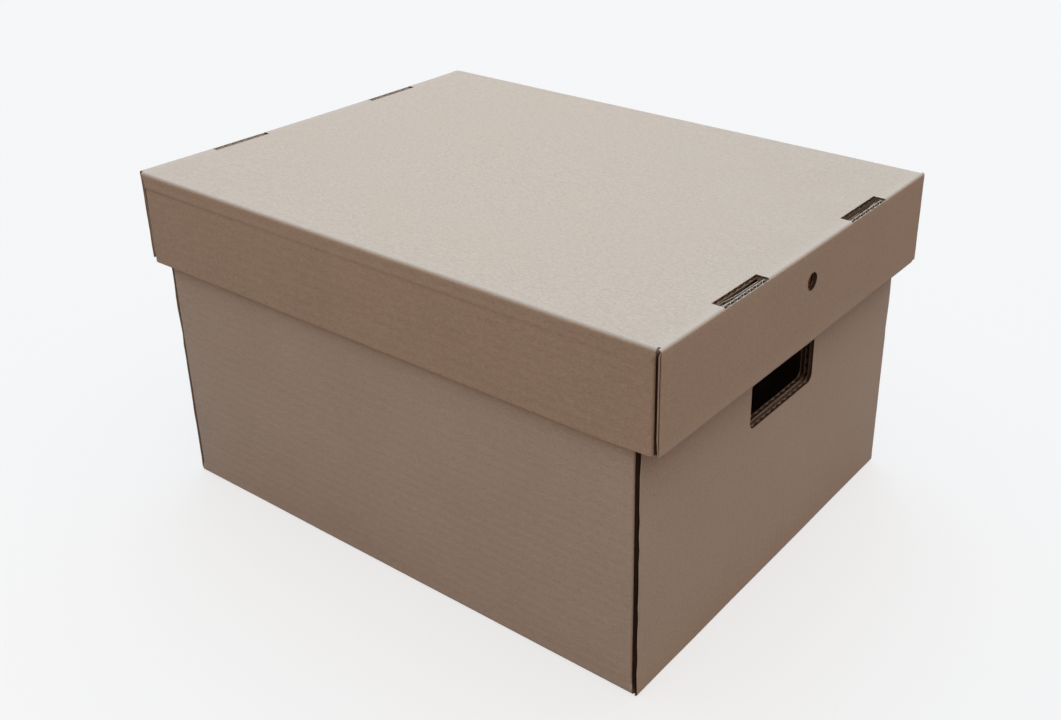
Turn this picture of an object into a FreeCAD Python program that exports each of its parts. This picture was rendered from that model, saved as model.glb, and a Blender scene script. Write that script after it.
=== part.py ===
import FreeCAD, Part
import os
import re
import Sketcher

# Archival box folded from corrugated board: a base tray and a lift-off lid, each one die-cut blank.
# Every panel between two creases is a sub-part of its own. Millimetres, +Z up. The origin is the
# middle of the box's underside, X runs along the box and Y across it.
# front is -Y, back is +Y, left is -X and right is +X.

doc = FreeCAD.newDocument("ArchivalBox")
sheet = doc.addObject("Spreadsheet::Sheet", "Sizes")

DRIVING_SIZES = [
    ("board", "3.0", "thickness of the corrugated board"),
    ("layer_slack", "0.3", "air between two folded layers of an end"),
    ("panel_play", "0.8", "gap at each side of a rolled-over panel"),
    ("wall_drop", "1.0", "how far a raw edge stops short of the rolled rims"),
    ("flap_relief", "1.5", "gap above and below a tuck flap"),
    ("base_length", "380", "base, outside, end to end"),
    ("base_width", "296", "base, outside, across"),
    ("base_height", "220", "base, underside to rim"),
    ("base_flap_gap", "4", "between two base flaps where they nearly meet"),
    ("lid_depth", "63", "lid, top face to bottom edge"),
    ("end_play", "3.4", "base end to the lid's inner skirt"),
    ("side_play", "0.5", "base side to the lid's side skirt"),
    ("hand_hole_width", "75", "hand hole, across the end"),
    ("hand_hole_height", "32", "hand hole, sill to top"),
    ("hand_hole_sill", "117", "underside of the box to the hole's sill"),
    ("hand_hole_corner", "5", "corner radius of the hand hole"),
    ("hole_step", "0.6", "each layer inwards is cut this much larger all round"),
    ("tab_offset", "50", "middle of the end to the near edge of a lock tab"),
    ("tab_length", "43", "lock tab, along the fold"),
    ("tab_play", "0.6", "slot beyond the tab on each free side"),
    ("tab_root", "11", "lid tab, below the top panel"),
    ("tab_drop", "0.6", "tab end below the slot's outer face"),
    ("tab_flap_gap", "3.5", "lid tuck flap to the lock tab beside it"),
    ("vent_diameter", "11.3", "round hole in the lid's end skirts"),
    ("vent_drop", "21", "top of the lid to the middle of the round hole"),
]

# Sizes that follow from the driving ones, so that what fits together keeps fitting.
DERIVED_SIZES = [
    ("end_stack", "3 * board + 2 * layer_slack", "outer panel, flap and inner panel together"),
    ("lid_length", "base_length + 2 * (end_stack + end_play)", "lid, outside, end to end"),
    ("lid_width", "base_width + 2 * (board + side_play)", "lid, outside, across"),
    ("lid_top_level", "base_height + board", "the lid's top face"),
    ("lid_rim_level", "lid_top_level - lid_depth", "the lid's bottom edge"),
    ("base_flap_length", "base_width / 2 - board - base_flap_gap / 2", "base tuck flap"),
    (
        "lid_flap_length",
        "lid_width / 2 - board - tab_offset - tab_length - tab_flap_gap",
        "lid tuck flap",
    ),
]

ALIASES = [row[0] for row in DRIVING_SIZES + DERIVED_SIZES]
ALIAS_PATTERN = re.compile(r"\b(" + "|".join(ALIASES) + r")\b")

SIDES = {"front": -1, "back": 1}
ENDS = {"left": -1, "right": 1}

NOTHING = 1e-6  # a length this short is no length
LEAST_CUT = 1.0  # a real cut takes out more than this, in cubic millimetres

sub_parts = []


def in_sheet(text):
    """The expression with each size's name made a reference to its cell."""
    return ALIAS_PATTERN.sub(r"Sizes.\1", text)


def fill_sheet():
    for number, (alias, value, note) in enumerate(DRIVING_SIZES, start=1):
        sheet.set(f"A{number}", note)
        sheet.set(f"B{number}", value)
        sheet.setAlias(f"B{number}", alias)
    doc.recompute()
    first_derived = len(DRIVING_SIZES) + 1
    for number, (alias, formula, note) in enumerate(DERIVED_SIZES, start=first_derived):
        sheet.set(f"A{number}", note)
        sheet.set(f"B{number}", "=" + formula)
        sheet.setAlias(f"B{number}", alias)
        doc.recompute()


def bind(item, prop, text):
    item.setExpression(prop, in_sheet(text))


def put_at(item, low_corner):
    for axis, text in zip("xyz", low_corner):
        bind(item, f"Placement.Base.{axis}", text)


def mirrored(sign, near, thickness):
    """Low coordinate of a slab whose face nearest the outside is `near` from the middle."""
    if sign > 0:
        return f"{near} - ({thickness})"
    return f"-({near})"


def plain_panel(label, low_corner, size):
    """An uncut panel: a box of board."""
    box = doc.addObject("Part::Box", label)
    box.Label = label
    for prop, text in zip(("Length", "Width", "Height"), size):
        bind(box, prop, text)
    put_at(box, low_corner)
    sub_parts.append(box)


def add_rectangle(sketch, name, left, bottom, width, height):
    """A rectangle held by four named dimensions, each bound to the sheet."""
    first = sketch.GeometryCount
    corners = [(1, 1), (2, 1), (2, 2), (1, 2)]
    points = [FreeCAD.Vector(u, v, 0) for u, v in corners]
    for start, end in zip(points, points[1:] + points[:1]):
        sketch.addGeometry(Part.LineSegment(start, end), False)
    for side in range(4):
        following = first + (side + 1) % 4
        sketch.addConstraint(Sketcher.Constraint("Coincident", first + side, 2, following, 1))
    for side, direction in enumerate(("Horizontal", "Vertical", "Horizontal", "Vertical")):
        sketch.addConstraint(Sketcher.Constraint(direction, first + side))
    dimensions = [
        ("left", "DistanceX", (-1, 1, first, 1), left),
        ("bottom", "DistanceY", (-1, 1, first, 1), bottom),
        ("width", "DistanceX", (first, 1, first, 2), width),
        ("height", "DistanceY", (first + 1, 1, first + 1, 2), height),
    ]
    for word, kind, points_at, text in dimensions:
        number = sketch.addConstraint(Sketcher.Constraint(kind, *points_at, 1.0))
        sketch.renameConstraint(number, f"{name}_{word}")
        sketch.setExpression(f"Constraints.{name}_{word}", in_sheet(text))


def add_circle(sketch, name, across, up, diameter):
    number = sketch.addGeometry(Part.Circle(FreeCAD.Vector(1, 1, 0), FreeCAD.Vector(0, 0, 1), 1))
    dimensions = [
        ("across", "DistanceX", (-1, 1, number, 3), across),
        ("up", "DistanceY", (-1, 1, number, 3), up),
        ("diameter", "Diameter", (number,), diameter),
    ]
    for word, kind, points_at, text in dimensions:
        place = sketch.addConstraint(Sketcher.Constraint(kind, *points_at, 1.0))
        sketch.renameConstraint(place, f"{name}_{word}")
        sketch.setExpression(f"Constraints.{name}_{word}", in_sheet(text))


def new_sketch(body, name, plane_role):
    sketch = body.newObject("Sketcher::SketchObject", name)
    plane = next(f for f in body.Origin.OriginFeatures if f.Role == plane_role)
    sketch.AttachmentSupport = [(plane, "")]
    sketch.MapMode = "FlatFace"
    return sketch


def padded_panel(label, plane_role, low_corner, across, up):
    """A body with one rectangle padded by the board's thickness, ready to be cut."""
    body = doc.addObject("PartDesign::Body", label)
    body.Label = label
    outline = new_sketch(body, f"{label}_outline", plane_role)
    add_rectangle(outline, "panel", "0", "0", across, up)
    pad = body.newObject("PartDesign::Pad", f"{label}_pad")
    pad.Profile = outline
    bind(pad, "Length", "board")
    outline.Visibility = False
    put_at(body, low_corner)
    sub_parts.append(body)
    return body


def cut_through(body, sketch):
    """Pocket a sketch that lies on the panel's lower face, and make sure that it cut."""
    doc.recompute()
    before = body.Shape.Volume
    pocket = body.newObject("PartDesign::Pocket", f"{body.Label}_cut")
    pocket.Profile = sketch
    bind(pocket, "Length", "board")
    pocket.Reversed = True
    doc.recompute()
    if pocket.Shape.Volume > before - LEAST_CUT:
        raise RuntimeError(f"{body.Label}: the pocket cut nothing")
    return pocket


def round_corners(body, pocket, radius, y_limit, z_limit):
    """Fillet the cut's own corners: the short edges along X inside the panel's outline."""
    names = []
    for number, edge in enumerate(pocket.Shape.Edges, start=1):
        box = edge.BoundBox
        along_x = box.YLength < NOTHING and box.ZLength < NOTHING
        inside_y = NOTHING < box.YMin < y_limit - NOTHING
        inside_z = NOTHING < box.ZMin < z_limit - NOTHING
        if along_x and inside_y and inside_z:
            names.append(f"Edge{number}")
    fillet = body.newObject("PartDesign::Fillet", f"{body.Label}_corners")
    fillet.Base = (pocket, names)
    bind(fillet, "Radius", radius)
    body.Tip = fillet


def size_of(text):
    """The value of an expression of the sheet's sizes."""
    return float(sheet.evalExpression(in_sheet(text)))


def hand_hole_panel(label, x_low, y_low, z_low, across, up, hole_left, layer):
    """An end panel or flap with its share of the hand hole. layer counts inwards from 0."""
    body = padded_panel(label, "YZ_Plane", (x_low, y_low, z_low), across, up)
    step = f"{layer} * hole_step"
    hole = new_sketch(body, f"{label}_hand_hole", "YZ_Plane")
    add_rectangle(
        hole,
        "hole",
        hole_left,
        f"hand_hole_sill - {step} - ({z_low})",
        f"hand_hole_width + 2 * {step}",
        f"hand_hole_height + 2 * {step}",
    )
    pocket = cut_through(body, hole)
    place = body.Placement
    body.Placement = FreeCAD.Placement()
    round_corners(body, pocket, f"hand_hole_corner + {step}", size_of(across), size_of(up))
    body.Placement = place


def slotted_panel(label, z_low, length, width, reach, inset):
    """A full floor or top panel with four lock-tab slots, `inset` from each end."""
    corner = (f"-{length} / 2", f"-{width} / 2", z_low)
    body = padded_panel(label, "XY_Plane", corner, length, width)
    slots = new_sketch(body, f"{label}_slots", "XY_Plane")
    for end, end_sign in ENDS.items():
        left = f"{length} - {inset} - {reach}" if end_sign > 0 else inset
        for side, side_sign in SIDES.items():
            middle = f"{width} / 2"
            from_middle = "tab_offset - tab_play"
            if side_sign < 0:
                bottom = f"{middle} - ({from_middle}) - (tab_length + 2 * tab_play)"
            else:
                bottom = f"{middle} + {from_middle}"
            add_rectangle(
                slots, f"{end}_{side}", left, bottom, reach, "tab_length + 2 * tab_play"
            )
    cut_through(body, slots)


def vented_panel(label, x_low, width, z_low, z_high, layer):
    """A lid end skirt with its round hole."""
    corner = (x_low, f"-({width}) / 2", z_low)
    body = padded_panel(label, "YZ_Plane", corner, width, f"{z_high} - ({z_low})")
    vent = new_sketch(body, f"{label}_vent", "YZ_Plane")
    add_circle(
        vent,
        "vent",
        f"({width}) / 2",
        f"lid_top_level - vent_drop - ({z_low})",
        f"vent_diameter + 2 * {layer} * hole_step",
    )
    cut_through(body, vent)


def tray_sides(names, length, width, z_low, z_high):
    """The two long sides, one layer of board, from fold to fold."""
    clear_length = f"{length} - 2 * (board + layer_slack)"
    for side, sign in SIDES.items():
        plain_panel(
            names.format(side=side),
            (f"-({clear_length}) / 2", mirrored(sign, f"{width} / 2", "board"), z_low),
            (clear_length, "board", f"{z_high} - ({z_low})"),
        )


def tray_rims(prefix, length, width, z_low):
    """The strips between the double creases, which bridge an end's outer and inner panels."""
    across = f"{width} - 2 * (board + panel_play)"
    for end, sign in ENDS.items():
        plain_panel(
            f"{prefix}_rim_{end}",
            (mirrored(sign, f"{length} / 2", "end_stack"), f"-({across}) / 2", z_low),
            ("end_stack", across, "board"),
        )


def make_base():
    inner_width = "base_width - 2 * (board + panel_play)"
    end_top = "base_height - board"
    inner_face = "base_length / 2 - 2 * (board + layer_slack)"
    flap_face = "base_length / 2 - board - layer_slack"
    flap_low = "board + flap_relief"
    flap_height = "base_height - 2 * (board + flap_relief)"

    slotted_panel(
        "base_floor",
        "0",
        "base_length",
        "base_width",
        "(board + layer_slack + tab_play)",
        "(2 * board + 2 * layer_slack)",
    )
    tray_sides(
        "base_{side}_wall", "base_length", "base_width", "board", "base_height - wall_drop"
    )
    tray_rims("base", "base_length", "base_width", end_top)
    for end, sign in ENDS.items():
        hand_hole_panel(
            f"base_end_wall_{end}",
            mirrored(sign, "base_length / 2", "board"),
            "-base_width / 2",
            "board",
            "base_width",
            f"{end_top} - board",
            "(base_width - hand_hole_width) / 2",
            0,
        )
        hand_hole_panel(
            f"base_inner_end_{end}",
            mirrored(sign, inner_face, "board"),
            f"-({inner_width}) / 2",
            "board",
            inner_width,
            f"{end_top} - board",
            f"({inner_width} - hand_hole_width) / 2 - 2 * hole_step",
            2,
        )
        for side, side_sign in SIDES.items():
            y_low = "base_flap_gap / 2" if side_sign > 0 else "-base_width / 2 + board"
            middle = "-base_flap_gap / 2" if side_sign > 0 else "base_flap_length + base_flap_gap / 2"
            hand_hole_panel(
                f"base_flap_{side}_{end}",
                mirrored(sign, flap_face, "board"),
                y_low,
                flap_low,
                "base_flap_length",
                flap_height,
                f"{middle} - hand_hole_width / 2 - hole_step",
                1,
            )
            plain_panel(
                f"base_lock_tab_{side}_{end}",
                (
                    mirrored(sign, inner_face, "board"),
                    mirrored(side_sign, "(tab_offset + tab_length)", "tab_length"),
                    "tab_drop",
                ),
                ("board", "tab_length", "board - tab_drop"),
            )


def make_lid():
    inner_width = "lid_width - 2 * (board + panel_play)"
    top_underside = "base_height"
    inner_face = "lid_length / 2 - 2 * (board + layer_slack)"
    flap_face = "lid_length / 2 - board - layer_slack"
    tab_face = "lid_length / 2 - board - 2 * layer_slack"
    skirt_low = "lid_rim_level + board"
    flap_low = f"{skirt_low} + flap_relief"

    slotted_panel(
        "lid_top",
        top_underside,
        "lid_length",
        "lid_width",
        "(2 * board + 2 * layer_slack + tab_play)",
        "0",
    )
    tray_sides(
        "lid_{side}_skirt", "lid_length", "lid_width", "lid_rim_level + wall_drop", top_underside
    )
    tray_rims("lid", "lid_length", "lid_width", "lid_rim_level")
    for end, sign in ENDS.items():
        outer_low = mirrored(sign, "lid_length / 2", "board")
        inner_low = mirrored(sign, inner_face, "board")
        vented_panel(f"lid_end_skirt_{end}", outer_low, "lid_width", skirt_low, top_underside, 0)
        vented_panel(f"lid_inner_skirt_{end}", inner_low, inner_width, skirt_low, top_underside, 1)
        for side, side_sign in SIDES.items():
            plain_panel(
                f"lid_flap_{side}_{end}",
                (
                    mirrored(sign, flap_face, "board"),
                    mirrored(side_sign, "(lid_width / 2 - board)", "lid_flap_length"),
                    flap_low,
                ),
                ("board", "lid_flap_length", f"{top_underside} - flap_relief - ({flap_low})"),
            )
            plain_panel(
                f"lid_lock_tab_{side}_{end}",
                (
                    mirrored(sign, tab_face, "board"),
                    mirrored(side_sign, "(tab_offset + tab_length)", "tab_length"),
                    f"{top_underside} - tab_root",
                ),
                ("board", "tab_length", "tab_root + board - tab_drop"),
            )


def check_document():
    for item in doc.Objects:
        if "Invalid" in item.State or "Error" in item.State:
            raise RuntimeError(f"{item.Label} failed: {item.State}")
    for item in sub_parts:
        if item.Shape.isNull() or not item.Shape.isValid() or len(item.Shape.Solids) != 1:
            raise RuntimeError(f"{item.Label} is not one valid solid")


def export_parts():
    os.makedirs("parts", exist_ok=True)
    for item in sub_parts:
        item.Shape.exportStep(f"parts/{item.Label}.step")
        print(f"{item.Label}: {item.Shape.Volume / 1000:.1f} cm3")


fill_sheet()
make_base()
make_lid()
doc.recompute()
check_document()
export_parts()
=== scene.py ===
import math
import bmesh
import bpy
from mathutils import Matrix, Vector, noise


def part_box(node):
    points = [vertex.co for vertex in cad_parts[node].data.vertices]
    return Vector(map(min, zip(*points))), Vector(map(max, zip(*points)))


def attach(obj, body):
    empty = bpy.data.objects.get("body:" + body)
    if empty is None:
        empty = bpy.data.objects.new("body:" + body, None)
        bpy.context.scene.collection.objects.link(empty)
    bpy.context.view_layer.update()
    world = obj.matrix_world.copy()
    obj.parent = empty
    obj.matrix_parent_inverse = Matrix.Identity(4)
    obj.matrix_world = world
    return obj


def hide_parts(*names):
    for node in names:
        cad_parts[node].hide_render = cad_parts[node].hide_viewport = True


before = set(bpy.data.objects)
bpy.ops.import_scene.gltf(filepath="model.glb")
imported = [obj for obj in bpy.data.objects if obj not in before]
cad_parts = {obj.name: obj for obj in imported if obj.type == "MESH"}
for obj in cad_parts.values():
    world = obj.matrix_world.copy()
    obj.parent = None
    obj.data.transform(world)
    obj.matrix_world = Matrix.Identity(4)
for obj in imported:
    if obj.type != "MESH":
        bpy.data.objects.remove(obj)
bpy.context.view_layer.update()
mm = 0.001

# The box is two folded sheets of corrugated board, a base tray and a lid. Both are the same kind of
# tray, so each panel is built flat, with its liners and fluting, then folded, and the lid is a tray
# turned over. Sheet coordinates are p along the path that a row of creases folds, q along the
# creases, and z out of the sheet, with the outer face at 0.


def spanOf(node, axis):
    low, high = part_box(node)
    return low[axis], high[axis]


boardThick = spanOf("base_floor", 2)[1]
board = {
    "liner": 0.38 * mm,
    "medium": 0.26 * mm,
    "pitch": 6.5 * mm,  # B flute
    "linesPerFlute": 8,
    "ripple": 0.05 * mm,  # how far the liner sinks between two flutes
    "coarse": 32 * mm,  # grid spacing where the sheet is plain
    "foldLines": 8,
    "creaseReach": 2.5 * mm,
    "slack": 0.3 * mm,  # between the rolled-over end and the floor
}


# ---- materials


def linearColour(code, strength=1.0):
    channels = [int(code[i:i + 2], 16) / 255 for i in (1, 3, 5)]
    linear = [c / 12.92 if c <= 0.04045 else ((c + 0.055) / 1.055) ** 2.4 for c in channels]
    return (*[c * strength for c in linear], 1.0)


def addNode(tree, kind, links=None, **settings):
    # links gives an input's name or number its output socket; "inputs" gives inputs their values, and
    # the other settings are attributes of the node
    node = tree.nodes.new(kind)
    for name, value in settings.pop("inputs", {}).items():
        node.inputs[name].default_value = value
    for name, value in settings.items():
        setattr(node, name, value)
    for name, socket in (links or {}).items():
        tree.links.new(socket, node.inputs[name])
    return node


def kraftPaper(name, look):
    # Kraft liner: unbleached softwood paper rolled flat on a paper machine. To the eye it is matt, warm
    # brown, faintly cloudy, with fine fibres lying along the sheet and a few dark bark specks.
    material = bpy.data.materials.new(name)
    material.use_nodes = True
    tree = material.node_tree
    shader = tree.nodes["Principled BSDF"]
    place = addNode(tree, "ShaderNodeTexCoord").outputs["Object"]

    cloud = addNode(
        tree, "ShaderNodeTexNoise", {"Vector": place},
        inputs={"Scale": 1 / look["cloud"], "Detail": 4.0, "Roughness": 0.6},
    )
    fibreSpace = addNode(
        tree, "ShaderNodeMapping", {"Vector": place},
        inputs={"Scale": look["fibreStretch"]},
    )
    fibre = addNode(
        tree, "ShaderNodeTexNoise", {"Vector": fibreSpace.outputs[0]},
        inputs={"Scale": 1 / look["fibre"], "Detail": 3.0, "Roughness": 0.65, "Distortion": 0.6},
    )
    grain = addNode(
        tree, "ShaderNodeTexNoise", {"Vector": place},
        inputs={"Scale": 1 / look["grain"], "Detail": 2.0, "Roughness": 0.7},
    )
    tone = addNode(
        tree, "ShaderNodeMix", {"Factor": cloud.outputs["Fac"]}, data_type="RGBA",
    )
    tone.inputs["A"].default_value = linearColour(look["dark"])
    tone.inputs["B"].default_value = linearColour(look["light"])
    speckle = addNode(
        tree, "ShaderNodeMath", {0: fibre.outputs["Fac"], 1: grain.outputs["Fac"]}, operation="ADD",
    )
    shade = addNode(
        tree, "ShaderNodeMapRange", {"Value": speckle.outputs[0]},
        inputs={"From Min": 0.6, "From Max": 1.4,
                "To Min": 1.0 - look["contrast"], "To Max": 1.0 + look["contrast"]},
    )
    fibred = addNode(
        tree, "ShaderNodeVectorMath", {0: tone.outputs["Result"], 3: shade.outputs["Result"]},
        operation="SCALE",
    )
    # bark specks: the middles of a few cells far apart
    cells = addNode(
        tree, "ShaderNodeTexVoronoi", {"Vector": place},
        inputs={"Scale": 1 / look["speckSpacing"], "Randomness": 1.0},
    )
    speck = addNode(
        tree, "ShaderNodeMapRange", {"Value": cells.outputs["Distance"]},
        inputs={"From Min": look["speckSize"] / look["speckSpacing"], "From Max": 0.0,
                "To Min": 0.0, "To Max": look["speckDepth"]},
    )
    specked = addNode(
        tree, "ShaderNodeMix", {"Factor": speck.outputs["Result"], "A": fibred.outputs[0]},
        data_type="RGBA",
    )
    specked.inputs["B"].default_value = linearColour(look["speckColour"])
    # creases: broken fibres are paler and drier
    wear = addNode(tree, "ShaderNodeAttribute", attribute_name="wear")
    wearMix = addNode(
        tree, "ShaderNodeMath", {0: wear.outputs["Fac"], 1: grain.outputs["Fac"]}, operation="MULTIPLY",
    )
    worn = addNode(
        tree, "ShaderNodeMix",
        {"Factor": wearMix.outputs[0], "A": specked.outputs["Result"]},
        data_type="RGBA",
    )
    worn.inputs["B"].default_value = linearColour(look["worn"])
    bump = addNode(
        tree, "ShaderNodeBump", {"Height": speckle.outputs[0]},
        inputs={"Strength": look["bump"], "Distance": 0.15 * mm},
    )
    roughness = addNode(
        tree, "ShaderNodeMapRange", {"Value": cloud.outputs["Fac"]},
        inputs={"From Min": 0.3, "From Max": 0.7,
                "To Min": look["rough"] - 0.05, "To Max": look["rough"] + 0.05},
    )
    tree.links.new(worn.outputs["Result"], shader.inputs["Base Color"])
    tree.links.new(bump.outputs[0], shader.inputs["Normal"])
    tree.links.new(roughness.outputs["Result"], shader.inputs["Roughness"])
    shader.inputs["IOR"].default_value = 1.5
    shader.inputs["Specular IOR Level"].default_value = look["gloss"]
    return material


linerLook = {
    "cloud": 60 * mm, "fibre": 1.1 * mm, "fibreStretch": (0.35, 1.0, 1.0), "grain": 1.3 * mm,
    "contrast": 0.17, "dark": "#AA8F76", "light": "#B59A81", "worn": "#B59E88",
    "speckSpacing": 26 * mm, "speckSize": 0.55 * mm, "speckDepth": 0.75, "speckColour": "#5A4332",
    "bump": 0.45, "rough": 0.62, "gloss": 0.5,
}
# semi-chemical fluting, darker than the liner, and darkened further as painted shade; the same dark
# paper is laid as painted shade on liner faces in open edges, holes, corners and slots
flutingLookDarkenedAsShade = dict(linerLook, dark="#553F30", light="#6A5140", worn="#7E6552", contrast=0.25, gloss=0.2)
# painted light: the base's liner is a paler, greyer copy of the lid's, standing in for the brighter,
# cooler light on the base's walls than on the lid's skirts
baseLinerPaintedLighterLook = dict(linerLook, dark="#B39D88", light="#BDA994", worn="#C0AE9C")
linerPaper = kraftPaper("kraftLinerPaper", linerLook)
baseLinerPaintedLighterPaper = kraftPaper("kraftLinerPaintedLighterForBase", baseLinerPaintedLighterLook)
flutingAndPaintedShadePaper = kraftPaper("semiChemicalFlutingAndPaintedShadePaper", flutingLookDarkenedAsShade)


# ---- trays


def makeTray(word, floorNode, wallNode, rimNode, turned):
    # the sizes a tray takes from its nodes; floorFace is the outside of its floor, or of the lid's top
    low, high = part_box(floorNode)
    wallLow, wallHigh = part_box(wallNode)
    rimLow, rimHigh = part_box(rimNode)
    floorFace = high.z if turned else low.z
    rimFace = rimLow.z if turned else rimHigh.z
    rawFace = wallLow.z if turned else wallHigh.z
    return {
        "body": word, "turned": turned, "floorFace": floorFace,
        "halfX": high.x, "halfY": high.y,
        "height": abs(rimFace - floorFace),
        "rawHeight": abs(rawFace - floorFace),
        "wallHalf": wallHigh.x,
        "rimHalf": rimHigh.y,
        "stack": rimHigh.x - rimLow.x,
    }


base = makeTray("base", "base_floor", "base_back_wall", "base_rim_right", False)
lid = makeTray("lid", "lid_top", "lid_back_skirt", "lid_rim_right", True)
# the base takes the liner painted paler and greyer, as painted light
base["paper"], lid["paper"] = baseLinerPaintedLighterPaper, linerPaper
base.update(endFold=2.0 * mm, sideFold=2.0 * mm, rimFold=2.4 * mm, cornerFold=1.8 * mm)
lid.update(endFold=1.8 * mm, sideFold=2.3 * mm, rimFold=2.1 * mm, cornerFold=2.4 * mm)
base["cornerGap"], lid["cornerGap"] = 0.8 * mm, 1.0 * mm
# the cut edges that face front and back at the corners: how far each paper stands back, how far the
# medium has been mashed thicker by the knife, and how uneven the edge is
base["edge"] = {"inner": 3.0 * mm, "medium": 2.2 * mm, "mash": 1.6, "rag": 0.7 * mm,
                "spacing": 9 * mm, "paper": 1}
lid["edge"] = {"inner": 2.4 * mm, "medium": 0.3 * mm, "mash": 3.2, "rag": 0.25 * mm,
               "spacing": 9 * mm, "paper": 0}
base["leftTrim"], lid["leftTrim"] = 1.6 * mm, 2.0 * mm  # the left end was cut a little narrow


def sheetPath(tray, across):
    # the outer face of the sheet from the middle of the floor outwards, across an end or a long side
    reach = tray["halfX"] if across == "end" else tray["halfY"]
    fold = tray["endFold"] if across == "end" else tray["sideFold"]
    steps = [("run", reach - fold), ("fold", fold)]
    if across == "end":
        rim = tray["rimFold"]
        steps += [
            ("run", tray["height"] - fold - rim), ("fold", rim),
            ("run", tray["stack"] - 2 * rim), ("fold", rim),
        ]
    return steps + [("run", 1.0)]


def stepLength(step):
    return step[1] if step[0] == "run" else step[1] * math.pi / 2


def pathMark(steps, number):
    # how far along the path its first steps reach
    return sum(stepLength(step) for step in steps[:number])


def turnedBy(vector, angle):
    c, s = math.cos(angle), math.sin(angle)
    return Vector((c * vector.x - s * vector.y, s * vector.x + c * vector.y))


def squeezeAt(steps, distance):
    # a crease crushes the board: it is thin round a tight fold and whole again a little way off
    done, thin = 0.0, 1.0
    for step in steps:
        length = stepLength(step)
        if step[0] == "fold":
            off = max(done - distance, distance - done - length, 0.0)
            tight = min(1.0, 0.93 * step[1] / boardThick)
            thin = min(thin, tight + (1 - tight) * min(1.0, off / board["creaseReach"]))
        done += length
    return thin


def alongPath(steps, distance, start=(0.0, 0.0), heading=(1.0, 0.0)):
    # where the outer face is, and the way into the board, shorter where a crease has crushed it
    thin = squeezeAt(steps, distance)
    spot, heading = Vector(start), Vector(heading)
    for step in steps:
        inward = Vector((-heading.y, heading.x))
        length = min(distance, stepLength(step))
        if step[0] == "run":
            spot = spot + heading * length
        else:
            angle = length / step[1]
            centre = spot + inward * step[1]
            spot = centre + turnedBy(spot - centre, angle)
            heading = turnedBy(heading, angle)
        distance -= length
        if distance <= 0:
            break
    return spot, Vector((-heading.y, heading.x)) * thin


# ---- flat corrugated sheets


def foldCuts(steps, first, last):
    # grid lines through each fold of the path between two marks
    cuts, done = [], 0.0
    for step in steps:
        length = stepLength(step)
        if step[0] == "fold" and first < done + length / 2 < last:
            count = board["foldLines"]
            cuts += [done + length * k / count for k in range(count + 1)]
            cuts += [done - board["creaseReach"], done + length + board["creaseReach"]]
        done += length
    return cuts


def addLayer(sheet, spans, level, thick, slot, flutes, wave, cuts=(), sideCuts=(), finish=None,
             coarse=None, holes=()):
    # one paper of the board, as a closed thin slab: wave(p, q) is how deep its middle lies past level
    (pLow, pHigh), (qLow, qHigh) = spans
    fine = board["pitch"] / board["linesPerFlute"]
    steps = [coarse or board["coarse"]] * 2
    steps[1 if flutes == "p" else 0] = fine
    counts = [max(1, round((high - low) / step)) for (low, high), step in zip(spans, steps)]
    place = Matrix.Translation(((pLow + pHigh) / 2, (qLow + qHigh) / 2, 0))
    place = place @ Matrix.Diagonal((pHigh - pLow, qHigh - qLow, 1, 1))
    layer = bmesh.new()
    bmesh.ops.create_grid(layer, x_segments=counts[0], y_segments=counts[1], size=0.5, matrix=place)
    for lines, normal in ((cuts, (1, 0, 0)), (sideCuts, (0, 1, 0))):
        for line in lines:
            geometry = layer.verts[:] + layer.edges[:] + layer.faces[:]
            point = [line * n for n in normal]
            bmesh.ops.bisect_plane(layer, geom=geometry, dist=1e-6, plane_co=point, plane_no=normal)
    for hole in holes:
        dieCut(layer, hole)
    for vert in layer.verts:
        vert.co.z = -(level + wave(vert.co.x, vert.co.y))
    bmesh.ops.solidify(layer, geom=layer.faces[:], thickness=thick)
    bmesh.ops.recalc_face_normals(layer, faces=layer.faces[:])
    for face in layer.faces:
        face.material_index = slot
    for hole in holes:
        colourCut(layer, hole)
    if finish:
        finish(layer)
    finished = bpy.data.meshes.new("layer")
    layer.to_mesh(finished)
    layer.free()
    sheet.from_mesh(finished)
    bpy.data.meshes.remove(finished)


def raggedEdge(edge, reach, inset, mash, seed, paper=0):
    # works one paper's cut ends at q = +-reach: stood back, mashed and uneven; within 7 mm of the edge
    # its faces take the given paper, which for the inner liner is the dark fluting paper as painted
    # shade in the open edge
    def finish(layer):
        ends = [vert for vert in layer.verts if abs(abs(vert.co.y) - reach) < 1e-6]
        middle = sum(vert.co.z for vert in ends) / len(ends)
        for face in layer.faces:
            if inset and abs(face.calc_center_median().y) > reach - 7 * mm:
                face.material_index = paper
        for vert in ends:
            shift = noise.noise(Vector((vert.co.x / (14 * mm), seed, vert.co.y * 9)))
            fine = noise.noise(Vector((vert.co.x / (5 * mm), seed, 0)))
            rag = edge["rag"] * (abs(shift) * 2 + 0.5 * fine)
            vert.co.y = math.copysign(reach - inset - max(0.0, rag), vert.co.y)
            vert.co.z = middle + (vert.co.z - middle) * mash
    return finish


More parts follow.
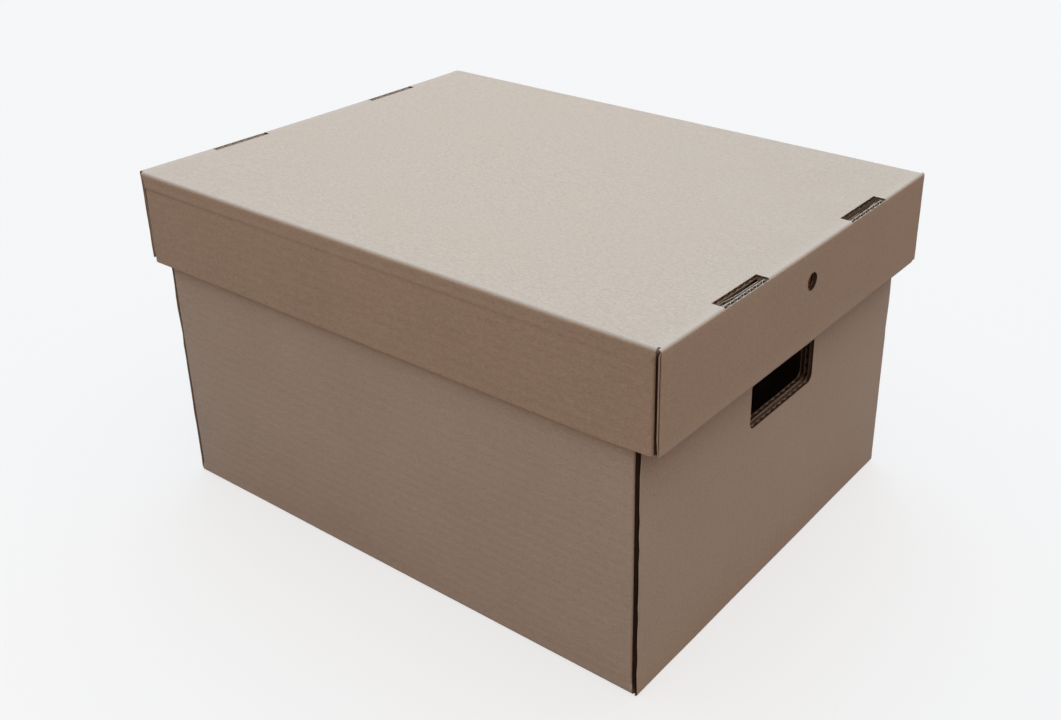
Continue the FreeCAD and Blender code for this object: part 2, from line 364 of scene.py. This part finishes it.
def corrugated(spans, flutes, cuts=(), sideCuts=(), outerSpans=None, relief=None, edge=None,
               outerFinish=None, holes=()):
    # relief(p, q) sinks the outer liner where a score or a crease has marked it
    sheet = bmesh.new()
    axis = 1 if flutes == "p" else 0
    low, high = spans[axis]
    number = max(1, round((high - low) / board["pitch"]))
    pitch = (high - low) / number
    half = (boardThick - 2 * board["liner"] - board["medium"]) / 2 - 0.01 * mm

    def phase(p, q):
        return 2 * math.pi * ((q if axis else p) - low) / pitch

    def medium(p, q):
        return half * math.sin(phase(p, q))

    def outer(p, q):
        sunk = board["ripple"] * (0.5 + 0.5 * math.sin(phase(p, q)))
        return sunk + (relief(p, q) if relief else 0.0)

    def inner(p, q):
        return -board["ripple"] * (0.5 - 0.5 * math.sin(phase(p, q)))

    finishes, coarse = [outerFinish, None, None], None
    if edge:
        reach, coarse = spans[1][1], edge["spacing"]
        finishes = [
            raggedEdge(edge, reach, 0.0, 1.0, 1.5),
            raggedEdge(edge, reach, edge["medium"], edge["mash"], 4.5, edge["paper"]),
            # painted shade: near the cut edge the inner liner takes the dark fluting paper
            raggedEdge(edge, reach, edge["inner"], 1.0, 8.5, 1),
        ]
    middle = (boardThick - board["medium"]) / 2
    innerLevel = boardThick - board["liner"]
    addLayer(sheet, outerSpans or spans, 0.0, board["liner"], 0, flutes, outer, cuts, sideCuts,
             finishes[0], coarse, holes)
    addLayer(sheet, spans, middle, board["medium"], 1, flutes, medium, cuts, (), finishes[1], coarse,
             holes)
    addLayer(sheet, spans, innerLevel, board["liner"], 0, flutes, inner, cuts, (), finishes[2], coarse,
             holes)
    return sheet


def holeSides(hole):
    # a point on each side of a hole's outline and the way out of the hole there, with short sides round
    # the corners
    (pLow, pHigh), (qLow, qHigh) = hole["spans"]
    radius = (pHigh - pLow) / 2 if hole.get("round") else hole.get("corner", 0.0)
    turns = 9 if hole.get("round") else 6 if radius else 0
    sides = []
    for quarter, (p, q) in enumerate(((pHigh, qHigh), (pLow, qHigh), (pLow, qLow), (pHigh, qLow))):
        middleP = p - math.copysign(radius, p - (pLow + pHigh) / 2)
        middleQ = q - math.copysign(radius, q - (qLow + qHigh) / 2)
        for k in range(turns + 1):
            angle = math.pi / 2 * (quarter + k / max(1, turns))
            way = Vector((math.cos(angle), math.sin(angle), 0))
            sides.append((Vector((middleP, middleQ, 0)) + way * radius, way))
    return sides


def dieCut(layer, hole):
    # takes a hole or a notch out of a flat grid: cuts along each side, then drops what is left inside
    (pLow, pHigh), (qLow, qHigh) = hole["spans"]
    inside = []
    for face in layer.faces:
        ps = [vert.co.x for vert in face.verts]
        qs = [vert.co.y for vert in face.verts]
        if max(ps) > pLow and min(ps) < pHigh and max(qs) > qLow and min(qs) < qHigh:
            inside.append(face)
    for point, way in holeSides(hole):
        layer.verts.index_update()
        layer.edges.index_update()
        edges = {edge for face in inside for edge in face.edges}
        verts = {vert for face in inside for vert in face.verts}
        bounds = sorted(edges, key=lambda edge: edge.index) + sorted(verts, key=lambda vert: vert.index)
        cut = bmesh.ops.bisect_plane(
            layer, geom=inside + bounds, dist=1e-7, plane_co=point, plane_no=way,
        )
        faces = [item for item in cut["geom"] if isinstance(item, bmesh.types.BMFace)]
        inside = [face for face in faces if (face.calc_center_median() - point).dot(way) < 0]
    bmesh.ops.delete(layer, geom=inside, context="FACES")


def colourCut(layer, hole):
    # the walls of the hole take the dark fluting paper: partly the fluting that the knife laid bare,
    # partly painted shade inside the hole
    (pLow, pHigh), (qLow, qHigh) = hole["spans"]
    beside = 0.1 * mm
    for face in layer.faces:
        centre = face.calc_center_median()
        within = (pLow - beside < centre.x < pHigh + beside
                  and qLow - beside < centre.y < qHigh + beside)
        if within and abs(face.normal.z) < 0.4:
            face.material_index = hole.get("paper", 0)


# ---- folding and placing


def foldEnd(sheet, steps, **where):
    # sheet coordinates to the tray's: p runs out along x and up the end, q across it
    for vert in sheet.verts:
        spot, inward = alongPath(steps, vert.co.x, **where)
        depth = -vert.co.z
        vert.co = (spot.x + inward.x * depth, -vert.co.y, spot.y + inward.y * depth)


def foldSide(sheet, steps):
    # p runs out along y and up a long side, q along it
    for vert in sheet.verts:
        spot, inward = alongPath(steps, vert.co.x)
        depth = -vert.co.z
        vert.co = (vert.co.y, spot.x + inward.x * depth, spot.y + inward.y * depth)


def smoothStep(value):
    value = min(1.0, max(0.0, value))
    return value * value * (3 - 2 * value)


settle = {
    "cornerLift": 1.2 * mm,  # the lid's skirts stand short at the front right corner
    "endSag": 0.7 * mm,  # the lid's end folds dip between the corners
    "wallBow": 0.35 * mm,  # the base's long walls belly out below the lid
    "topSag": 1.2 * mm,
    "tremble": 0.12 * mm,  # slow unevenness of every panel
    "trembleSize": 45 * mm,
}


def settleLid(co):
    top = lid["floorFace"]
    down = (top - co.z) / lid["height"]
    right = smoothStep((co.x / lid["halfX"] - 0.8) / 0.2)
    near = smoothStep((0.25 - co.y / lid["halfY"]) / 1.25)
    lift = settle["cornerLift"] * down * right * near
    along = 1 - (co.y / lid["halfY"]) ** 2
    atEnd = smoothStep((abs(co.x) / lid["halfX"] - 0.8) / 0.2)
    across = (1 - (co.x / lid["halfX"]) ** 2) * along
    sink = settle["endSag"] * along * atEnd + settle["topSag"] * across
    return Vector((0, 0, lift - sink * smoothStep(1 - 1.4 * down)))


def settleBase(co):
    up = co.z / base["height"]
    along = 1 - (co.x / base["halfX"]) ** 2
    belly = math.sin(math.pi * min(1.0, max(0.0, up))) * along
    side = smoothStep((abs(co.y) / base["halfY"] - 0.9) / 0.1)
    return Vector((0, math.copysign(settle["wallBow"] * belly * side, co.y), 0))


def placeSheet(sheet, tray, half=0):
    # half 1 is the tray's other end or side, and the lid is a tray turned over
    turn = Matrix.Rotation(math.pi * half, 4, "Z")
    if tray["turned"]:
        turn = Matrix.Translation((0, 0, tray["floorFace"])) @ Matrix.Rotation(math.pi, 4, "X") @ turn
    bmesh.ops.transform(sheet, matrix=turn, verts=sheet.verts[:])
    settleTray = settleLid if tray["turned"] else settleBase
    size = settle["trembleSize"]
    for vert in sheet.verts:
        shake = noise.noise_vector(vert.co / size) * settle["tremble"]
        vert.co = vert.co + settleTray(vert.co) + shake


wornReach = {"floor": 6 * mm, "fold": 5 * mm, "rim": 4 * mm}


def wearSpots(sheet, creases):
    # the wear attribute: 1 on a crease, falling off over a few millimetres
    layer = sheet.verts.layers.float.get("wear") or sheet.verts.layers.float.new("wear")
    for vert in sheet.verts:
        vert[layer] = max([0.0] + [1 - abs(vert.co.x - middle) / reach for middle, reach in creases])


def finishPiece(name, sheet, tray, *nodes):
    mesh = bpy.data.meshes.new(name)
    sheet.to_mesh(mesh)
    sheet.free()
    for paper in (tray["paper"], flutingAndPaintedShadePaper):
        if paper.name not in mesh.materials:
            mesh.materials.append(paper)
    mesh.shade_smooth()
    mesh.set_sharp_from_angle(angle=math.radians(32))
    piece = bpy.data.objects.new(name, mesh)
    bpy.context.scene.collection.objects.link(piece)
    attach(piece, tray["body"])
    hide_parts(*nodes)


def sideSign(tray, half, side):
    # +1 or -1: which way along the tray's own y a side of the finished box lies
    sign = -1 if side == "front" else 1
    for turned in (half == 1, tray["turned"]):
        sign = -sign if turned else sign
    return sign


# ---- the panels


# the hole in the outer end; each layer further in has it larger by the step and a little aside
handHole = {"width": 75 * mm, "height": 32 * mm, "sill": 117 * mm, "corner": 5 * mm,
            "step": 0.6 * mm, "shift": (0.0, 0.7 * mm, -0.9 * mm)}


def holeSpans(layer, pathZero):
    # the hand hole in one layer: p up the path, q across the end
    grow = layer * handHole["step"]
    low = handHole["sill"] + pathZero - grow
    half = handHole["width"] / 2 + grow
    across = handHole["shift"][layer]
    return {
        "spans": ((low, low + handHole["height"] + 2 * grow), (across - half, across + half)),
        # paper 1: the hole's cut walls take the dark fluting paper, partly as painted shade
        "corner": handHole["corner"] + grow, "paper": 1,
    }


# how far the lid's slots reach in from its right end (1) and its left end (-1), and how much of the
# fold beside them is cut away
slots = {"offset": 50 * mm, "length": 43 * mm, "play": 1.0 * mm,
         "lidReach": {1: 8.8 * mm, -1: 6.2 * mm}, "foldShare": 0.6}


def slotSpans(pLow, pHigh, sign):
    near, far = slots["offset"] - slots["play"], slots["offset"] + slots["length"] + slots["play"]
    return {"spans": ((pLow, pHigh), tuple(sorted((sign * near, sign * far))))}


topScore = {"fromSide": 7 * mm, "half": 1.3 * mm, "deep": 0.16 * mm}  # where the maker did not fold


def makeFloor(tray, node):
    steps = sheetPath(tray, "end")
    halfX = tray["halfX"] - tray["endFold"]
    halfY = tray["halfY"] - tray["sideFold"]
    worn = wornReach["floor"]
    scoreLine = tray["halfY"] - topScore["fromSide"]

    def relief(p, q):
        # a faint score across the lid's top, beside one long side
        if not tray["turned"]:
            return 0.0
        return topScore["deep"] * math.exp(-((q - scoreLine) / topScore["half"]) ** 2)

    endCuts = [sign * (halfX - back) for sign in (-1, 1) for back in (worn, board["creaseReach"])]
    holes = []
    for endSign in (-1, 1):
        for sign in (-1, 1):
            if tray["turned"]:
                reach = (tray["halfX"] - slots["lidReach"][endSign], halfX + 10 * mm)
            else:
                inner = tray["halfX"] - tray["stack"] - slots["play"]
                reach = (inner, inner + boardThick + 2 * slots["play"])
            reach = tuple(sorted(endSign * r for r in reach))
            holes.append(slotSpans(*reach, sign))
    sheet = corrugated(((-halfX, halfX), (-halfY, halfY)), "p", endCuts, relief=relief, holes=holes)
    wearSpots(sheet, [(-halfX, worn), (halfX, worn)])
    foldEnd(sheet, steps)
    placeSheet(sheet, tray)
    finishPiece(f"{node}_sheet", sheet, tray, node)


skirtScore = {"down": 7.5 * mm, "bandDeep": 0.5 * mm, "deep": 0.42 * mm, "wide": 1.4 * mm,
              "fade": 14 * mm}


def makeSides(tray, nodes):
    steps = sheetPath(tray, "side")
    first = pathMark(steps, 1)
    last = pathMark(steps, 2) + tray["rawHeight"] - tray["sideFold"]
    reach, curl = tray["wallHalf"] - tray["cornerGap"], tray["cornerFold"]
    flatEnd = reach - curl
    inside = flatEnd + 0.3 * curl
    tip = flatEnd + curl * math.pi / 2 + 2.2 * mm
    sideCuts = [sign * (flatEnd + curl * math.pi / 2 * k / 6) for sign in (-1, 1) for k in range(7)]
    bend = pathMark(steps, 2)
    scoreAt = bend + skirtScore["down"]

    def relief(p, q):
        # the crushed band beside the fold ends in a faint score
        if not tray["turned"]:
            return 0.0
        patchy = noise.noise(Vector((q / 0.12, 3.1, 0)))
        strength = 0.6 + 0.8 * patchy - 0.35 * smoothStep(q / 0.15 - 0.3)
        if p < scoreAt:
            band = 1 - (p - first) / (scoreAt - first)
            sunk = skirtScore["bandDeep"] * smoothStep((p - first) / (bend - first)) * band
        else:
            step = smoothStep((p - scoreAt) / skirtScore["wide"])
            sunk = skirtScore["deep"] * step * math.exp((scoreAt - p) / skirtScore["fade"])
        return max(0.0, strength) * sunk

    def curlEnds(layer):
        # the liner turns in at each end, where the flap was folded off the wall; up at the long
        # crease it still reaches the end wall
        # painted shade: past the curl the liner's turned-in tip takes the dark fluting paper, for the
        # shade in the corner
        for face in layer.faces:
            if abs(face.calc_center_median().y) > flatEnd + curl * 1.2:
                face.material_index = 1
        for vert in layer.verts:
            closed = 1 - smoothStep((vert.co.x - bend) / (6 * mm))
            past = abs(vert.co.y) - flatEnd - closed * (tray["cornerGap"] + 0.8 * curl)
            if past > 0:
                depth = -vert.co.z
                angle = min(past / curl, math.pi / 2)
                further = past - angle * curl
                out = abs(vert.co.y) - past + (curl - depth) * math.sin(angle)
                vert.co.y = math.copysign(out, vert.co.y)
                vert.co.z = -(curl - (curl - depth) * math.cos(angle) + further)

    for half, node in enumerate(nodes):
        sheet = corrugated(
            ((first, last), (-inside, inside)), "q", foldCuts(steps, first, last), sideCuts,
            ((first, last), (-tip, tip)), relief, outerFinish=curlEnds,
        )
        wearSpots(sheet, [(bend - tray["sideFold"] * 0.7, wornReach["fold"])])
        foldSide(sheet, steps)
        placeSheet(sheet, tray, half)
        finishPiece(f"{node}_sheet", sheet, tray, node)


def standUp(sheet, steps, arcEnd):
    # beside a slot the crease is cut through, so the skirt is not bent there and stands up straight
    spot, inward = alongPath(steps, arcEnd)
    heading = Vector((inward.y, -inward.x)).normalized()
    inward = inward.normalized()
    middle = slots["offset"] + slots["length"] / 2
    straight = {}
    for vert in sheet.verts:
        short = arcEnd + board["creaseReach"] - vert.co.x
        aside = abs(abs(vert.co.y) - middle)
        within = smoothStep((slots["length"] / 2 + 0.6 * mm - aside) / (0.9 * mm))
        if short > 0 and within > 0:
            depth = -vert.co.z
            place = spot + heading * (board["creaseReach"] - short) + inward * depth
            straight[vert] = (within, Vector((place.x, -vert.co.y, place.y)))
    return straight


def makeEndWalls(tray, nodes):
    steps = sheetPath(tray, "end")
    first, bend, last = (pathMark(steps, number) for number in (1, 2, 3))
    pathZero = bend - tray["endFold"]
    if tray["turned"]:
        slotEnd = first + slots["foldShare"] * tray["endFold"] * math.pi / 2
        holes = [slotSpans(first - 5 * mm, slotEnd, sign) for sign in (-1, 1)]
        holes.append(ventSpans(pathZero, 0))
    else:
        holes = [holeSpans(0, pathZero)]
    for half, node in enumerate(nodes):
        reach = tray["halfY"] - half * tray["leftTrim"]
        sheet = corrugated(
            ((first, last), (-reach, reach)), "p", foldCuts(steps, first, last),
            edge=tray["edge"], holes=holes,
        )
        wearSpots(sheet, [(bend - tray["endFold"] * 0.7, wornReach["fold"]), (last, wornReach["rim"])])
        straight = standUp(sheet, steps, bend) if tray["turned"] else {}
        foldEnd(sheet, steps)
        for vert, (share, place) in straight.items():
            vert.co = vert.co.lerp(place, share)
        placeSheet(sheet, tray, half)
        finishPiece(f"{node}_sheet", sheet, tray, node)


# the round hole in the lid's ends, and how the inner layer's hole is larger and aside
vent = {"radius": 5.65 * mm, "drop": 21 * mm, "step": 0.6 * mm, "lower": 0.8 * mm,
        "shift": (1.2 * mm, -0.4 * mm)}


def ventSpans(pathZero, layer):
    grow = vent["radius"] + layer * vent["step"]
    down = vent["drop"] + pathZero + layer * vent["lower"]
    across = vent["shift"][layer]
    spans = ((down - grow, down + grow), (across - grow, across + grow))
    # paper 1: the hole's cut walls take the dark fluting paper, partly as painted shade
    return {"round": True, "paper": 1, "spans": spans}


def makeRims(tray, nodes):
    steps = sheetPath(tray, "end")
    first, last = pathMark(steps, 3), pathMark(steps, 6)
    for half, node in enumerate(nodes):
        sheet = corrugated(
            ((first, last), (-tray["rimHalf"], tray["rimHalf"])), "p", foldCuts(steps, first, last)
        )
        worn = wornReach["rim"]
        wearSpots(sheet, [(first + worn / 2, worn), (last - worn / 2, worn)])
        foldEnd(sheet, steps)
        placeSheet(sheet, tray, half)
        finishPiece(f"{node}_sheet", sheet, tray, node)


innerBow = {"out": 2.5 * mm, "freeHalf": 97 * mm, "ramp": 30 * mm, "rise": 22 * mm}


def makeInnerEnds(tray, nodes):
    # rolled over the rim and down inside, from the last crease to just short of the floor
    steps = sheetPath(tray, "end")
    first = pathMark(steps, 6)
    # up the end from the floor is back down this panel's path
    downZero = first + tray["height"] - tray["rimFold"]
    last = downZero - boardThick - board["slack"]
    for half, node in enumerate(nodes):
        hole = ventSpans(0.0, 1) if tray["turned"] else holeSpans(2, 0.0)
        low, high = hole["spans"][0]
        hole["spans"] = ((downZero - high, downZero - low), hole["spans"][1])
        span = ((first, last), (-tray["rimHalf"], tray["rimHalf"]))
        sheet = corrugated(span, "p", holes=[hole])
        wearSpots(sheet, [(first, wornReach["rim"])])
        if tray["turned"]:
            for vert in sheet.verts:
                free = smoothStep((innerBow["freeHalf"] - abs(vert.co.y)) / innerBow["ramp"])
                away = smoothStep((vert.co.x - first) / innerBow["rise"])
                vert.co.z -= innerBow["out"] * free * away
        foldEnd(sheet, steps)
        placeSheet(sheet, tray, half)
        finishPiece(f"{node}_sheet", sheet, tray, node)


def makeFlaps(tray, pattern):
    # the long walls' ends, tucked in behind the end walls; p is across the end and q up it
    for half, end in enumerate(("right", "left")):
        for side in ("front", "back"):
            node = pattern.format(side=side, end=end)
            low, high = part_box(node)
            sign = sideSign(tray, half, side)
            short, far = sorted((abs(low.y), abs(high.y)))
            pSpan = tuple(sorted((sign * short, sign * far)))
            qSpan = tuple(sorted(abs(z - tray["floorFace"]) for z in (low.z, high.z)))
            hole = holeSpans(1, 0.0)
            holes = [] if tray["turned"] else [dict(hole, spans=(hole["spans"][1], hole["spans"][0]))]
            sheet = corrugated((pSpan, qSpan), "p", holes=holes)
            wearSpots(sheet, [])
            for vert in sheet.verts:
                vert.co = (tray["wallHalf"] + vert.co.z, vert.co.x, vert.co.y)
            placeSheet(sheet, tray, half)
            finishPiece(f"{node}_sheet", sheet, tray, node)


tabs = {
    # how low each lid tab sits, how much its tip is crushed, and how far the tip has been pushed out
    # (a negative out leans it inwards)
    "front_right": {"low": 4.2 * mm, "crush": 0.3, "out": 1.0 * mm},
    "back_right": {"low": 1.3 * mm, "crush": 0.78, "out": -1.5 * mm},
    "front_left": {"low": 2.4 * mm, "crush": 0.45, "out": 0.6 * mm},
    "back_left": {"low": 2.0 * mm, "crush": 0.50, "out": 0.4 * mm},
}


def makeTabs(tray, pattern):
    for half, end in enumerate(("right", "left")):
        for side in ("front", "back"):
            node = pattern.format(side=side, end=end)
            low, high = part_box(node)
            sign = -sideSign(tray, half, side)
            near, far = slots["offset"], slots["offset"] + slots["length"]
            qSpan = tuple(sorted((sign * near, sign * far)))
            tall = high.z - low.z
            sheet = corrugated(((0.0, tall), qSpan), "p", cuts=[tall * k / 5 for k in range(1, 5)])
            wearSpots(sheet, [])
            if tray["turned"]:
                way = tabs[f"{side}_{end}"]
                for face in sheet.faces:
                    face.material_index = 1  # painted shade: the whole tab takes the dark fluting paper, for the shade it sits in down in the slot
                for vert in sheet.verts:
                    # the tip is pressed thinner where the knife and the slot have squeezed it
                    nearTip = smoothStep((vert.co.x / tall - 0.15) / 0.85)
                    vert.co.z *= 1 - way["crush"] * nearTip
                    vert.co.z -= way["out"] * nearTip
                start = (low.x + 0.1 * mm if half == 0 else -high.x + 0.1 * mm, way["low"] + tall)
            else:
                start = (tray["halfX"] - tray["stack"], high.z)
            foldEnd(sheet, [("run", 1.0)], start=start, heading=(0.0, -1.0))
            placeSheet(sheet, tray, half)
            finishPiece(f"{node}_sheet", sheet, tray, node)


print("floors and sides")
makeFloor(base, "base_floor")
makeFloor(lid, "lid_top")
makeSides(base, ("base_back_wall", "base_front_wall"))
makeSides(lid, ("lid_front_skirt", "lid_back_skirt"))
print("ends")
makeEndWalls(base, ("base_end_wall_right", "base_end_wall_left"))
makeEndWalls(lid, ("lid_end_skirt_right", "lid_end_skirt_left"))
makeRims(base, ("base_rim_right", "base_rim_left"))
makeRims(lid, ("lid_rim_right", "lid_rim_left"))
makeInnerEnds(base, ("base_inner_end_right", "base_inner_end_left"))
makeInnerEnds(lid, ("lid_inner_skirt_right", "lid_inner_skirt_left"))
print("flaps and tabs")
makeFlaps(base, "base_flap_{side}_{end}")
makeFlaps(lid, "lid_flap_{side}_{end}")
makeTabs(base, "base_lock_tab_{side}_{end}")
makeTabs(lid, "lid_lock_tab_{side}_{end}")


# ---- floor, light and camera

studio = {
    "floor": "#D8C6B6", "floorBounce": "#7A7872", "floorGlow": 0.76, "floorSize": 9.0,
    "floorLight": "#F7F7F7", "sweep": "#F6F8FA",
    # soft parts of the sky: which way, how tight, and how bright in red, green and blue
    "overhead": {"way": (0, 0, 1), "tight": 3, "light": (2.15, 2.7, 3.2)},
    "window": {"way": (-0.35, 0.4, 0.85), "tight": 12, "light": (0.4, 2.55, 4.9)},
    "backWall": {"way": (-0.6, 0.7, 0.3), "tight": 12, "light": (2.2, 1.0, 0.2)},
    "frontHigh": {"way": (-0.1, -0.45, 0.9), "tight": 24, "light": (0.3, 0.2, 0.15)},
    "rightHigh": {"way": (0.45, 0.1, 0.9), "tight": 24, "light": (1.2, 0.8, 0.2)},
    "rightWall": {"way": (1, -0.1, 0.2), "tight": 3, "light": (0.54, 0.16, 0.0)},
    "fill": {"at": (0.0, -0.95, 0.35), "aim": (0.0, -0.15, 0.1), "size": (1.0, 0.3), "watts": 1.15,
             "colour": (1.0, 0.42, 0.08)},
}


def makeSky():
    world = bpy.data.worlds.new("studioSky")
    bpy.context.scene.world = world
    world.use_nodes = True
    tree = world.node_tree
    way = addNode(tree, "ShaderNodeTexCoord").outputs["Generated"]
    total = None
    for word in ("overhead", "window", "backWall", "frontHigh", "rightHigh", "rightWall"):
        part = studio[word]
        facing = addNode(tree, "ShaderNodeVectorMath", {0: way}, operation="DOT_PRODUCT")
        facing.inputs[1].default_value = Vector(part["way"]).normalized()
        ahead = addNode(tree, "ShaderNodeMath", {0: facing.outputs["Value"]}, operation="MAXIMUM")
        ahead.inputs[1].default_value = 0.0
        soft = addNode(tree, "ShaderNodeMath", {0: ahead.outputs[0]}, operation="POWER")
        soft.inputs[1].default_value = part["tight"]
        glow = addNode(tree, "ShaderNodeVectorMath", {3: soft.outputs[0]}, operation="SCALE")
        glow.inputs[0].default_value = part["light"]
        if total:
            total = addNode(
                tree, "ShaderNodeVectorMath", {0: total, 1: glow.outputs[0]}, operation="ADD",
            ).outputs[0]
        else:
            total = glow.outputs[0]
    # the sweep goes on behind the floor, as pale to the eye as the floor is
    path = addNode(tree, "ShaderNodeLightPath")
    seen = addNode(
        tree, "ShaderNodeMix", {"Factor": path.outputs["Is Camera Ray"], "A": total}, data_type="RGBA",
    )
    seen.inputs["B"].default_value = linearColour(studio["sweep"])
    tree.links.new(seen.outputs["Result"], tree.nodes["Background"].inputs["Color"])


def makeStudio():
    bm = bmesh.new()
    bmesh.ops.create_grid(bm, x_segments=1, y_segments=1, size=studio["floorSize"] / 2)
    mesh = bpy.data.meshes.new("studioFloor")
    bm.to_mesh(mesh)
    bm.free()
    paint = bpy.data.materials.new("studioFloorPaint")
    paint.use_nodes = True
    shader = paint.node_tree.nodes["Principled BSDF"]
    # a white sweep to the eye, giving the box a greyer light back than white would
    path = addNode(paint.node_tree, "ShaderNodeLightPath")
    white = addNode(
        paint.node_tree, "ShaderNodeMix", {"Factor": path.outputs["Is Camera Ray"]}, data_type="RGBA",
    )
    white.inputs["A"].default_value = linearColour(studio["floorBounce"])
    white.inputs["B"].default_value = linearColour(studio["floor"], 1 - studio["floorGlow"])
    paint.node_tree.links.new(white.outputs["Result"], shader.inputs["Base Color"])
    glow = addNode(
        paint.node_tree, "ShaderNodeMath", {0: path.outputs["Is Camera Ray"]}, operation="MULTIPLY",
    )
    glow.inputs[1].default_value = studio["floorGlow"]
    paint.node_tree.links.new(glow.outputs[0], shader.inputs["Emission Strength"])
    shader.inputs["Emission Color"].default_value = linearColour(studio["floorLight"])
    shader.inputs["Roughness"].default_value = 0.9
    shader.inputs["Specular IOR Level"].default_value = 0.1
    mesh.materials.append(paint)
    floor = bpy.data.objects.new("studioFloor", mesh)
    floor.location.z = -0.3 * mm
    bpy.context.scene.collection.objects.link(floor)
    lamp = studio["fill"]
    light = bpy.data.lights.new("fill", "AREA")
    light.shape = "RECTANGLE"
    light.size, light.size_y = lamp["size"]
    light.energy = lamp["watts"]
    light.color = lamp["colour"]
    item = bpy.data.objects.new("fill", light)
    item.location = lamp["at"]
    item.rotation_euler = (Vector(lamp["aim"]) - item.location).to_track_quat("-Z", "Y").to_euler()
    item.visible_camera = False
    bpy.context.scene.collection.objects.link(item)


# where the camera stands in millimetres and how it is turned in degrees
view = {"at": (486.9, -582.9, 499.9), "turn": (64.56, -0.32, 36.16), "lens": 42.38,
        "shift": (-0.0759, -0.0663)}


def makeCamera():
    camera = bpy.data.cameras.new("camera")
    camera.sensor_width = 36
    camera.lens = view["lens"]
    camera.shift_x, camera.shift_y = view["shift"]
    camera.clip_start, camera.clip_end = 0.02, 30
    item = bpy.data.objects.new("camera", camera)
    item.location = [v * mm for v in view["at"]]
    item.rotation_euler = [math.radians(a) for a in view["turn"]]
    bpy.context.scene.collection.objects.link(item)
    bpy.context.scene.camera = item


print("studio")
makeStudio()
makeSky()
makeCamera()
bpy.context.scene.view_settings.view_transform = "Standard"
bpy.context.view_layer.update()
